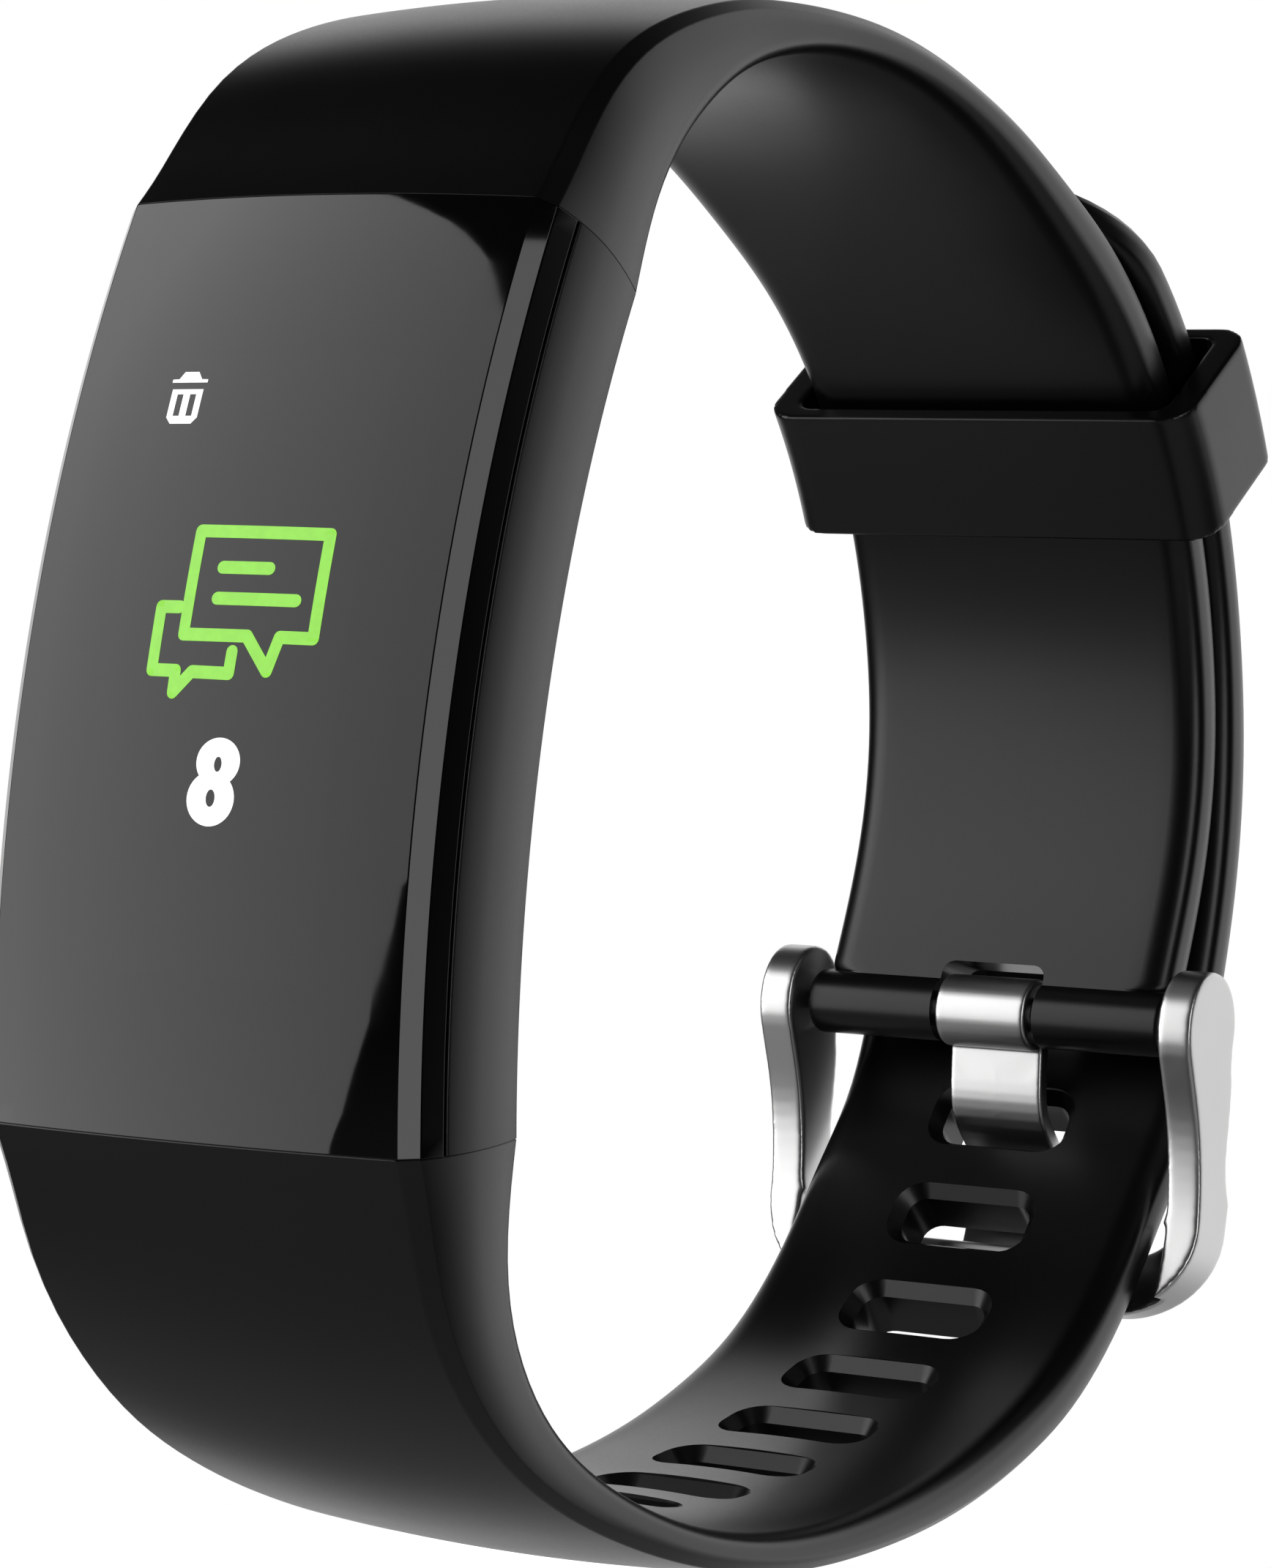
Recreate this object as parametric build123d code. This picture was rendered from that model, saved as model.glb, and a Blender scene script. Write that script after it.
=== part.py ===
"""Fitness tracker band, buckled: a curved display case on a two-piece soft strap.

Frame: +X along the wrist axis, -Y out of the screen, +Z towards the buckle-side strap,
origin at the centre of the wrist opening.  All sizes in millimetres.
"""
from build123d import *
import os
from math import sin, cos, radians, hypot

os.makedirs("parts", exist_ok=True)

# ---------------------------------------------------------------- driving dimensions
CASE_R = 65.3              # radius of the screen's crest line, seen from the side
CASE_Y = 30.35             # centre of that radius
CASE_Z = -1.05
CASE_HALF_ANGLE = 15.2     # seams to the straps
CREST_X = 8.64             # where the screen turns into its side facets
CROWN = 0.45               # rise of the screen across the wrist
LENS_DEPTH = 1.55
CASE_DEPTH = 6.9           # crest to wrist-side face at the seams

STRAP_X = 8.6              # strap half width
STRAP_T = 2.5              # buckle strap thickness at the keeper
TAIL_T = 2.35              # strap tail thickness at the keeper
LOOP_Y = 4.1               # centre of the arc both straps follow at the keeper
LOOP_Z = 2.4
UPPER_R = 25.2             # wrist-side radius of the buckle strap on that arc
TAIL_R = 28.4              # wrist-side radius of the strap tail on that arc

BAR_Y = 28.6               # buckle bar
BAR_Z = -3.7
TUBE_R = 1.475             # strap sleeve round the buckle bar
TUBE_X = 8.95
PIN_R = 0.75               # spring bar barrel
TIP_R = 0.42
BORE_R = 0.80

FRAME_X = 10.9             # buckle frame, outside half width
ARM_X = 9.25               # buckle frame, inside half width
TONGUE_X = 2.3
TONGUE_T = 0.8
BARREL_R = 1.65
BARREL_X = 2.25

KEEPER_X = 10.6
KEEPER_H = 6.3
KEEPER_ANGLE = 45.5
KEEPER_WALL = 0.9
KEEPER_GAP = 0.3

HOLE_W = 6.1
HOLE_H = 3.5
HOLE_PITCH = 5.7
HOLE_FLARE = 0.5
HOLES_BELOW = 7            # holes between the tongue and the case
HOLES_ABOVE = 3            # holes between the tongue and the tip

CASE_AXIS = Axis((0, CASE_Y, CASE_Z), (1, 0, 0))
LOOP_AXIS = Axis((0, LOOP_Y, LOOP_Z), (1, 0, 0))
CASE_PLANE = Plane(origin=(0, CASE_Y, CASE_Z), x_dir=(1, 0, 0), z_dir=(0, 0, 1))


# ---------------------------------------------------------------- helpers
def case_point(depth, angle):
    """(y, z) of a point at a depth below the crest line, angle measured towards +Z."""
    r = CASE_R - depth
    return CASE_Y - r * cos(radians(angle)), CASE_Z + r * sin(radians(angle))


def curved(face, a0, a1):
    """Sweep a cross-section drawn as (x, depth) along the screen's arc between two angles."""
    placed = CASE_PLANE * (Pos(0, -CASE_R) * face)
    placed = placed.rotate(CASE_AXIS, -a1)
    return revolve(placed, axis=CASE_AXIS, revolution_arc=a1 - a0)


def polygon(*pts):
    return make_face(Polyline(*pts, close=True))


def mirrored(half):
    """Closed polygon from the right-hand half of an outline."""
    return polygon(*half, *[(-x, y) for x, y in reversed(half)])


def slab(x, d0, d1, a0, a1):
    return curved(mirrored([(x, d0), (x, d1)]), a0, a1)


def x_cylinder(y, z, radius, x0, x1):
    return Plane(origin=(x0, y, z), x_dir=(0, 1, 0), z_dir=(1, 0, 0)) * extrude(Circle(radius), x1 - x0)


def side_extrude(face, half):
    """Extrude an outline drawn as (y, z) across the wrist axis, both ways."""
    return extrude(Plane.YZ * face, half, both=True)


def block(x0, x1, y0, y1, z0, z1):
    return Pos((x0 + x1) / 2, (y0 + y1) / 2, (z0 + z1) / 2) * Box(x1 - x0, y1 - y0, z1 - z0)


def depth_cylinder(x, angle, radius, d0, d1):
    """Round pin square to the case at a given angle, between two depths."""
    y, z = case_point(d0, angle)
    a = radians(angle)
    plane = Plane(origin=(x, y, z), x_dir=(1, 0, 0), z_dir=(0, cos(a), -sin(a)))
    return plane * extrude(Circle(radius), d1 - d0)


def save(shape, node):
    shape.label = node
    export_step(shape, "parts/" + node + ".step")


# ---------------------------------------------------------------- display
LENS_HALF = [(CREST_X, 0.0), (CREST_X + 0.6, 0.6), (CREST_X + 0.92, LENS_DEPTH)]
RECESS_X = 7.3
RECESS_ANGLE = 12.5


def lens_section():
    crown = ThreePointArc((-CREST_X, 0), (0, -CROWN), (CREST_X, 0))
    rim = Polyline(*LENS_HALF, *[(-x, d) for x, d in reversed(LENS_HALF)])
    return make_face([crown, rim])


def display_lens():
    lens = curved(lens_section(), -CASE_HALF_ANGLE, CASE_HALF_ANGLE)
    return lens - slab(RECESS_X, 0.85, LENS_DEPTH + 1, -RECESS_ANGLE, RECESS_ANGLE)


def display_module():
    return slab(RECESS_X - 0.15, 0.85, 1.65, -RECESS_ANGLE + 0.15, RECESS_ANGLE - 0.15)


def display_gasket():
    ring = slab(9.1, LENS_DEPTH, LENS_DEPTH + 0.15, -CASE_HALF_ANGLE + 0.4, CASE_HALF_ANGLE - 0.4)
    return ring - slab(RECESS_X + 0.1, 1, 2, -RECESS_ANGLE - 0.1, RECESS_ANGLE + 0.1)


# ---------------------------------------------------------------- case
SHELL_TOP = LENS_DEPTH + 0.15
DECK = 2.4                 # underside of the deck behind the display
CAVITY_X = 8.3
CAVITY_ANGLE = 11.3
POCKET_X = 6.7             # pocket for each strap tab
POCKET_ANGLE = 12.5
POCKET_D0 = 2.9
POCKET_D1 = 5.5
LUG_ANGLE = 13.8           # spring bars of the straps
LUG_DEPTH = 4.2
COVER_X = 8.4
COVER_ANGLE = 12.9
SCREWS = [(x, a) for x in (-6.9, 6.9) for a in (-10.0, 10.0)]


def case_shell():
    half = [(CREST_X + 0.95, SHELL_TOP), (9.8, 3.6), (9.74, 5.3), (9.45, 6.3), (8.75, CASE_DEPTH)]
    shell = curved(mirrored(half), -CASE_HALF_ANGLE, CASE_HALF_ANGLE)
    shell -= slab(CAVITY_X, DECK, 8, -CAVITY_ANGLE, CAVITY_ANGLE)
    shell -= slab(RECESS_X - 0.1, 1, DECK + 1, -9.5, 9.5)
    shell -= slab(COVER_X + 0.05, 6.3, 8, -COVER_ANGLE - 0.05, COVER_ANGLE + 0.05)
    for side in (-1, 1):
        a0, a1 = sorted((side * POCKET_ANGLE, side * (CASE_HALF_ANGLE + 1)))
        shell -= slab(POCKET_X, POCKET_D0, POCKET_D1, a0, a1)
        y, z = case_point(LUG_DEPTH, side * LUG_ANGLE)
        shell -= x_cylinder(y, z, TIP_R + 0.05, -7.75, 7.75)
    for x, a in SCREWS:
        shell += depth_cylinder(x, a, 1.3, DECK - 0.3, 6.25)
        shell -= depth_cylinder(x, a, 0.5, 3.9, 7)
    return shell


def rear_cover():
    half = [(COVER_X, 6.55), (COVER_X - 0.1, 7.0), (6.9, 7.75)]
    cover = curved(mirrored(half), -COVER_ANGLE, COVER_ANGLE)
    dome = Plane(origin=(0, -30, CASE_Z), x_dir=(1, 0, 0), z_dir=(0, 1, 0)) * RectangleRounded(11, 17, 4.5)
    dome = extrude(dome, case_point(8.9, 0)[0] + 30)
    dome = fillet(dome.edges().group_by(Axis.Y)[-1], 0.9)
    cover += dome - slab(9, -1, 7.0, -14, 14)
    cover -= Plane(origin=(0, case_point(8.9, 0)[0] + 1, CASE_Z), z_dir=(0, -1, 0)) * extrude(
        RectangleRounded(8.2, 9.2, 2.0), 1.6)
    cover -= Pos(0, case_point(8.1, 0)[0], CASE_Z) * Box(4.6, 4, 5.6)
    for x in (-3.2, 0, 3.2):
        cover -= depth_cylinder(x, -10.4, 0.85, 5, 9)
    for x, a in SCREWS:
        cover -= depth_cylinder(x, a, 0.6, 6, 9)
        cover -= depth_cylinder(x, a, 1.1, 7.0, 9)
    return cover


def rear_seal():
    ring = slab(COVER_X - 0.1, 6.32, 6.53, -COVER_ANGLE + 0.1, COVER_ANGLE - 0.1)
    ring -= slab(CAVITY_X - 0.35, 6, 7, -CAVITY_ANGLE - 0.1, CAVITY_ANGLE + 0.1)
    return ring


def rear_screws():
    out = []
    for x, a in SCREWS:
        screw = depth_cylinder(x, a, 0.45, 4.4, 7.05) + depth_cylinder(x, a, 1.0, 7.05, 7.6)
        y, z = case_point(7.6, a)
        tilt = Plane(origin=(x, y, z), x_dir=(1, 0, 0), z_dir=(0, cos(radians(a)), -sin(radians(a))))
        screw -= tilt * (Box(1.3, 0.28, 0.5) + Box(0.28, 1.3, 0.5))
        out.append(screw)
    return Compound(children=out)


def sensor_window():
    y = case_point(8.9, 0)[0]
    window = Plane(origin=(0, y + 0.06, CASE_Z), z_dir=(0, -1, 0)) * extrude(
        RectangleRounded(8.1, 9.1, 1.95), 0.64)
    return fillet(window.edges().group_by(Axis.Y)[-1], 0.15)


def sensor_emitters():
    """Two green emitters and two photodiodes on a small carrier behind the window."""
    y = case_point(8.15, 0)[0]
    carrier = block(-2.2, 2.2, y - 0.75, y - 0.35, CASE_Z - 2.7, CASE_Z + 2.7)
    out = [carrier]
    for z in (-1.9, 1.9):
        out.append(block(-0.5, 0.5, y - 0.35, y, CASE_Z + z - 0.4, CASE_Z + z + 0.4))
    for x in (-1.2, 1.2):
        out.append(block(x - 0.75, x + 0.75, y - 0.35, y - 0.05, CASE_Z - 0.8, CASE_Z + 0.8))
    return Compound(children=out)


def charging_contacts():
    pins = []
    for x in (-3.2, 0, 3.2):
        pins.append(depth_cylinder(x, -10.4, 0.8, 6.6, 7.95) + depth_cylinder(x, -10.4, 0.45, 5.9, 6.6))
    return Compound(children=pins)


# ---------------------------------------------------------------- electronics
MID_Y = case_point(0, 0)[0]


def main_board():
    y = MID_Y + 3.5
    board = block(-7.6, 7.6, y, y + 0.6, CASE_Z - 8.6, CASE_Z + 8.6)
    board = chamfer(board.edges().filter_by(Axis.Y), 1.0)
    for x in (-6.6, 6.6):
        board -= Pos(x, y, CASE_Z) * Box(0.9, 3, 3)
    return board


def shield_can():
    y = MID_Y + 2.75
    can = block(-5.0, 5.0, y, y + 0.75, CASE_Z - 3.8, CASE_Z + 3.8)
    can = fillet(can.edges().filter_by(Axis.Y), 0.5)
    return can - block(-4.85, 4.85, y + 0.15, y + 1, CASE_Z - 3.65, CASE_Z + 3.65)


def board_chips():
    y = MID_Y + 3.0
    chips = [block(-3.2, 0.4, y, y + 0.5, CASE_Z - 2.6, CASE_Z + 1.4)]
    chips.append(block(1.4, 4.0, y, y + 0.5, CASE_Z - 1.2, CASE_Z + 1.6))
    for k in range(4):
        z = CASE_Z + 5.2 + 0.8 * k
        chips.append(block(-4.2, -3.0, y + 0.1, y + 0.5, z, z + 0.45))
    return Compound(children=chips)


def battery_cell():
    y = MID_Y + 4.25
    cell = block(-6.9, 6.9, y, y + 2.2, CASE_Z - 7.6, CASE_Z + 7.6)
    cell = fillet(cell.edges().filter_by(Axis.Z), 0.8)
    return cell + block(-3, 3, y + 0.5, y + 1.6, CASE_Z + 7.6, CASE_Z + 8.3)


def battery_pad():
    y = MID_Y + 4.1
    return block(-6.2, 6.2, y, y + 0.15, CASE_Z - 7.0, CASE_Z + 7.0)


def vibration_motor():
    y, z = case_point(4.9, 9.9)
    body = x_cylinder(y, z, 1.3, -3.2, 2.6) + x_cylinder(y, z, 0.3, 2.6, 4.6)
    half_disc = x_cylinder(y, z, 1.15, 3.1, 4.4) - block(3, 5, y, y + 2, z - 2, z + 2)
    return body + half_disc


def display_flex():
    """Flat cable from the display module, folded over to the board."""
    y = MID_Y
    run = [(y + 2.45, -7.4), (y + 2.55, -9.2), (y + 2.8, -10.3), (y + 3.2, -10.2), (y + 3.35, -9.4), (y + 3.39, -8.2)]
    path = Spline(*run)
    start = path % 0
    section = Plane(origin=(0, *run[0]), x_dir=(1, 0, 0), z_dir=(0, start.X, start.Y))
    return sweep(section * Rectangle(4.4, 0.12), path=Plane.YZ * path)


# ---------------------------------------------------------------- straps
def loop_point(radius, angle):
    return LOOP_Y + radius * cos(radians(angle)), LOOP_Z + radius * sin(radians(angle))


UPPER_PATH = [case_point(CASE_DEPTH, CASE_HALF_ANGLE), (-24.7, 18.7), (-22.2, 22.2), (-19.0, 25.1), (-15.0, 27.3),
              (-10.0, 28.85), (-4.0, 29.5), (2.2, 29.0), (8.6, 27.4)]
UPPER_PATH += [loop_point(UPPER_R, a) for a in (65, 52, 39, 26, 14)] + [(28.9, 4.0), (28.45, 0.4), (27.9, -2.4)]

LOWER_PATH = [case_point(CASE_DEPTH, -CASE_HALF_ANGLE), (-24.9, -20.4), (-22.9, -23.3), (-20.4, -25.4),
              (-17.0, -27.1), (-12.7, -28.3), (-7.6, -29.0), (-2.2, -29.0), (3.6, -28.2), (9.4, -26.6),
              (14.6, -24.6), (19.0, -22.3), (22.4, -20.0), (25.2, -17.2), (27.3, -14.2), (29.25, -10.8),
              (31.2, -7.2), (32.0, -3.4)]
LOWER_PATH += [loop_point(TAIL_R - dip, a)
               for a, dip in ((3, 0), (14, 0), (26, 0), (39, 0), (52, 0.05), (64, 0.2), (75, 0.35))]

# (share of the length, edge thickness, half width, blend from case section to strap section,
#  rise of the outer face, rise of the wrist face)
UPPER_SHAPE = [(0, CASE_DEPTH, 9.8, 0, CROWN, 0.02), (0.03, 6.15, 9.62, 0.14, 0.45, 0.06),
               (0.06, 5.5, 9.43, 0.3, 0.45, 0.12), (0.09, 4.75, 9.2, 0.47, 0.42, 0.2),
               (0.12, 3.95, 9.0, 0.65, 0.4, 0.28), (0.15, 3.15, 8.85, 0.8, 0.4, 0.36),
               (0.18, 2.5, 8.72, 0.9, 0.4, 0.44), (0.21, 2.0, 8.65, 0.96, 0.45, 0.5),
               (0.25, 1.6, 8.6, 1, 0.5, 0.56), (0.3, 1.4, 8.6, 1, 0.55, 0.58), (0.36, 1.38, 8.6, 1, 0.55, 0.55),
               (0.41, 1.52, 8.6, 1, 0.5, 0.46), (0.46, 1.85, 8.6, 1, 0.4, 0.28), (0.51, 2.15, 8.6, 1, 0.25, 0.1),
               (0.56, 2.4, 8.6, 1, 0.1, 0.03), (0.62, STRAP_T, STRAP_X, 1, 0.08, 0.02),
               (0.7, STRAP_T, STRAP_X, 1, 0.08, 0.02), (0.78, STRAP_T, STRAP_X, 1, 0.08, 0.02),
               (0.86, STRAP_T, STRAP_X, 1, 0.08, 0.02), (0.93, STRAP_T, STRAP_X, 1, 0.08, 0.02),
               (1, STRAP_T, STRAP_X, 1, 0.08, 0.02)]
LOWER_SHAPE = [(0, CASE_DEPTH, 9.8, 0, CROWN, 0.02), (0.03, 5.35, 9.45, 0.25, 0.45, 0.15),
               (0.06, 4.0, 9.05, 0.6, 0.45, 0.3), (0.09, 2.95, 8.8, 0.86, 0.45, 0.45),
               (0.12, 2.2, 8.66, 0.97, 0.47, 0.58), (0.155, 1.7, 8.6, 1, 0.45, 0.7),
               (0.195, 1.4, 8.6, 1, 0.4, 0.8), (0.24, 1.3, 8.6, 1, 0.4, 0.87), (0.28, 1.35, 8.6, 1, 0.4, 0.88),
               (0.32, 1.5, 8.6, 1, 0.4, 0.82), (0.36, 1.75, 8.6, 1, 0.38, 0.72), (0.4, 2.0, 8.6, 1, 0.32, 0.6),
               (0.44, 2.25, 8.6, 1, 0.2, 0.42), (0.48, 2.45, 8.6, 1, 0.1, 0.22), (0.52, 2.55, 8.6, 1, 0.08, 0.06),
               (0.58, 2.6, 8.6, 1, 0.08, 0.02), (0.64, 2.6, 8.6, 1, 0.08, 0.02), (0.7, 2.6, 8.6, 1, 0.08, 0.02),
               (0.745, 2.55, 8.6, 1, 0.08, 0.02), (0.79, 2.4, 8.6, 1, 0.08, 0.02),
               (0.84, TAIL_T, 8.6, 1, 0.08, 0.02), (0.9, 2.25, 8.6, 1, 0.08, 0.02), (0.95, 2.0, 8.6, 1, 0.08, 0.02),
               (1, 1.6, 8.6, 1, 0.08, 0.02)]

# right-hand half of the two cross-sections: (share of half width, share of thickness)
CASE_RING = [(8.75 / 9.8, 0), (9.45 / 9.8, 0.6 / 6.9), (1, 3.3 / 6.9), (9.56 / 9.8, 5.35 / 6.9),
             ((CREST_X + 0.6) / 9.8, 6.3 / 6.9), (CREST_X / 9.8, 1)]
STRAP_RING = [(8.3 / 8.6, 0), (8.52 / 8.6, 0.09), (1, 0.5), (8.46 / 8.6, 0.86), (8.36 / 8.6, 0.95), (8.1 / 8.6, 1)]


def table(rows, s):
    """Straight-line interpolation of a row table on its first column."""
    for a, b in zip(rows, rows[1:]):
        if s <= b[0]:
            f = (s - a[0]) / (b[0] - a[0])
            return [p + f * (q - p) for p, q in zip(a[1:], b[1:])]
    return list(rows[-1][1:])


def strap_section(point, direction, outward, thickness, half, blend, crown, belly):
    ring = []
    for (cx, ct), (sx, st) in zip(CASE_RING, STRAP_RING):
        ring.append((half * (cx + blend * (sx - cx)), thickness * (ct + blend * (st - ct))))
    left = [(-x, t) for x, t in reversed(ring)]
    bottom = ThreePointArc(left[-1], (0, -belly), ring[0])
    top = ThreePointArc(ring[-1], (0, thickness + crown), left[0])
    face = make_face([Polyline(*left), bottom, Polyline(*ring), top])
    dy, dz = direction
    plane = Plane(origin=(0, *point), x_dir=(1, 0, 0), z_dir=(0, -outward * dy, -outward * dz))
    return plane * face


def strap_body(points, shape, outward):
    """Loft along the wrist-side path, starting square to the case seam."""
    path = Spline(*points)
    faces = []
    for s, *sizes in shape:
        p, d = path @ s, path % s
        direction = (d.X, d.Y)
        if s == 0:
            direction = (sin(radians(CASE_HALF_ANGLE)), outward * cos(radians(CASE_HALF_ANGLE)))
        faces.append(strap_section((p.X, p.Y), direction, outward, *sizes))
    return loft(faces), path


def strap_tab(side):
    """Tongue of the strap inside the case pocket, with the spring bar's bore."""
    a0, a1 = sorted((side * (POCKET_ANGLE + 0.15), side * (CASE_HALF_ANGLE + 0.4)))
    tab = slab(POCKET_X - 0.1, POCKET_D0 + 0.08, POCKET_D1 - 0.08, a0, a1)
    y, z = case_point(LUG_DEPTH, side * LUG_ANGLE)
    return tab, x_cylinder(y, z, BORE_R, -20, 20)


def upper_strap():
    body, path = strap_body(UPPER_PATH, UPPER_SHAPE, 1)
    keep = block(-15, 15, -40, 40, -0.2, 40) + block(-6.7, 6.7, 20, 35, -5, -0.2)
    for x in (-6.7, 6.7):
        keep += Plane(origin=(x, 20, -0.2), z_dir=(0, 1, 0)) * extrude(Circle(1.9), 15)
    body = body & keep
    tab, bore = strap_tab(1)
    sleeve = x_cylinder(BAR_Y, BAR_Z, TUBE_R, -TUBE_X, TUBE_X)
    sleeve = fillet(sleeve.edges().filter_by(GeomType.CIRCLE), 0.35)
    body = body + sleeve + tab - bore
    body -= x_cylinder(BAR_Y, BAR_Z, BORE_R, -20, 20)
    notch = Plane(origin=(0, 20, BAR_Z), x_dir=(1, 0, 0), z_dir=(0, 1, 0)) * RectangleRounded(5.15, 4.4, 0.6)
    return body - extrude(notch, 20)


def hole_tool(y, z, tangent, belly):
    """Rounded slot with a bevelled mouth on the wrist face, square to the strap at a path point."""
    ty, tz = tangent
    plane = Plane(origin=(0, y, z), x_dir=(1, 0, 0), z_dir=(0, tz, -ty))
    narrow = RectangleRounded(HOLE_W, HOLE_H - 2 * HOLE_FLARE, 0.85)
    wide = RectangleRounded(HOLE_W + 2 * HOLE_FLARE, HOLE_H, 0.85 + HOLE_FLARE)
    mouth = loft([wide, Pos(0, 0, 1.2 * HOLE_FLARE) * narrow]) + extrude(wide, -1)
    return plane * (extrude(narrow, 8, both=True) + Pos(0, 0, -0.85 * belly) * mouth)


def lower_strap():
    body, path = strap_body(LOWER_PATH, LOWER_SHAPE, -1)
    tip_y, tip_z = loop_point(TAIL_R, 75)
    tip = Plane(origin=(0, tip_y, tip_z), x_dir=(1, 0, 0), z_dir=(0, sin(radians(15)), cos(radians(15))))
    rounded = extrude(tip * (Pos(0, 0) * (Rectangle(30, 20) - Pos(0, 10) * RectangleRounded(2 * STRAP_X, 20, 7))),
                      6, both=True)
    body -= rounded
    tab, bore = strap_tab(-1)
    body = body + tab - bore
    length = path.length
    tongue_hole = path_share(path, 30.5, -8.15)
    for k in range(-HOLES_BELOW, HOLES_ABOVE + 1):
        s = tongue_hole + k * HOLE_PITCH / length
        p, d = path @ s, path % s
        body -= hole_tool(p.X, p.Y, (d.X, d.Y), table(LOWER_SHAPE, s)[-1])
    return body


def path_share(path, y, z):
    """Share of a path's length nearest to a point."""
    steps = [k / 2000 for k in range(2001)]
    return min(steps, key=lambda s: hypot((path @ s).X - y, (path @ s).Y - z))


# ---------------------------------------------------------------- spring bars
def spring_bar(y, z, half, tip):
    tube = x_cylinder(y, z, PIN_R, -half, half) - x_cylinder(y, z, 0.50, -half - 1, half + 1)
    lips = []
    tips = []
    for side in (-1, 1):
        ends = sorted((side * half, side * (half - 0.3)))
        lips.append(x_cylinder(y, z, 0.51, *ends) - x_cylinder(y, z, TIP_R + 0.02, *ends))
        inner = sorted((side * (half - 0.35), side * (half - 1.3)))
        outer = sorted((side * (half - 0.4), side * tip))
        pin = x_cylinder(y, z, 0.46, *inner) + x_cylinder(y, z, TIP_R, *outer)
        tips.append(pin)
    tube = tube + lips[0] + lips[1]
    turns = 9
    span = 2 * (half - 1.45)
    coil = Helix(pitch=span / turns, height=span, radius=0.34)
    wire = sweep(Plane(origin=coil @ 0, z_dir=coil % 0) * Circle(0.08), path=coil)
    spring = Plane(origin=(-span / 2, y, z), x_dir=(0, 1, 0), z_dir=(1, 0, 0)) * wire
    return tube, Compound(children=tips), spring


# ---------------------------------------------------------------- buckle
FRAME_WRIST_EDGE = [(BAR_Y - 2.5, BAR_Z), (26.8, -5.7), (28.2, -8.0), (29.2, -10.6), (29.6, -13.0),
                    (29.3, -15.4), (28.6, -17.6)]
FRAME_FOOT_EDGE = [(31.0, -18.0), (32.1, -16.0), (32.65, -13.6), (32.7, -11.1)]
FRAME_ARM_EDGE = [(32.7, -11.1), (31.95, -9.7), (31.72, -8.0), (31.4, -5.6), (BAR_Y + 2.5, BAR_Z)]


def buckle_frame():
    top = ThreePointArc(FRAME_ARM_EDGE[-1], (BAR_Y, BAR_Z + 2.5), FRAME_WRIST_EDGE[0])
    wrist = Spline(*FRAME_WRIST_EDGE, tangents=[(0, -1), (-0.35, -0.94)])
    foot = Line(FRAME_WRIST_EDGE[-1], FRAME_FOOT_EDGE[0])
    crossbar = Spline(*FRAME_FOOT_EDGE, tangents=[(0.5, 0.87), (0, 1)])
    arm = Spline(*FRAME_ARM_EDGE, tangents=[(-0.6, 0.8), (0, 1)])
    frame = side_extrude(make_face([top, wrist, foot, crossbar, arm]), FRAME_X)
    plan = Pos(0, -3.6) * RectangleRounded(2 * FRAME_X, 26.4, 4.2)
    frame = frame & extrude(Plane(origin=(0, 35, 0), x_dir=(1, 0, 0), z_dir=(0, -1, 0)) * plan, 14)
    window = Pos(0, 2) * RectangleRounded(2 * ARM_X, 32.0, 2.4)
    frame -= extrude(Plane(origin=(0, 45, 0), x_dir=(1, 0, 0), z_dir=(0, -1, 0)) * window, 30)
    rest = [(15, -12), (31.6, -12.6), (31.05, -14.2), (30.0, -16.4), (28.7, -18.4), (15, -19)]
    frame -= side_extrude(polygon(*rest), ARM_X)
    groove = [(32.3, -10.4), (34.5, -10.4), (34.5, -18.5), (30.9, -18.5), (31.75, -15.6), (32.1, -13)]
    frame -= side_extrude(polygon(*groove), TONGUE_X + 0.25)
    for side in (-1, 1):
        ends = sorted((side * (ARM_X - 1), side * 10.0))
        frame -= x_cylinder(BAR_Y, BAR_Z, TIP_R + 0.06, *ends)
    return frame


def buckle_tongue():
    run = [(29.5, -4.6), (29.76, -5.8), (30.05, -7.0), (30.55, -8.05), (31.4, -8.8), (32.4, -9.35), (33.25, -10.4),
           (33.5, -12.3), (33.15, -14.5), (32.5, -16.3)]
    path = Spline(*run)
    centre = [path @ (k / 40) for k in range(41)]
    slope = [path % (k / 40) for k in range(41)]
    one = [(p.X - 0.5 * TONGUE_T * d.Y, p.Y + 0.5 * TONGUE_T * d.X) for p, d in zip(centre[::5], slope[::5])]
    two = [(p.X + 0.5 * TONGUE_T * d.Y, p.Y - 0.5 * TONGUE_T * d.X) for p, d in zip(centre[::5], slope[::5])]
    outline = make_face([Spline(*one), Line(one[-1], two[-1]), Spline(*reversed(two)), Line(two[0], one[0])])
    plate = side_extrude(outline, TONGUE_X)
    barrel = x_cylinder(BAR_Y, BAR_Z, BARREL_R, -BARREL_X, BARREL_X)
    barrel = fillet(barrel.edges().filter_by(GeomType.CIRCLE), 0.12)
    return barrel + plate - x_cylinder(BAR_Y, BAR_Z, BORE_R, -5, 5)


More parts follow.
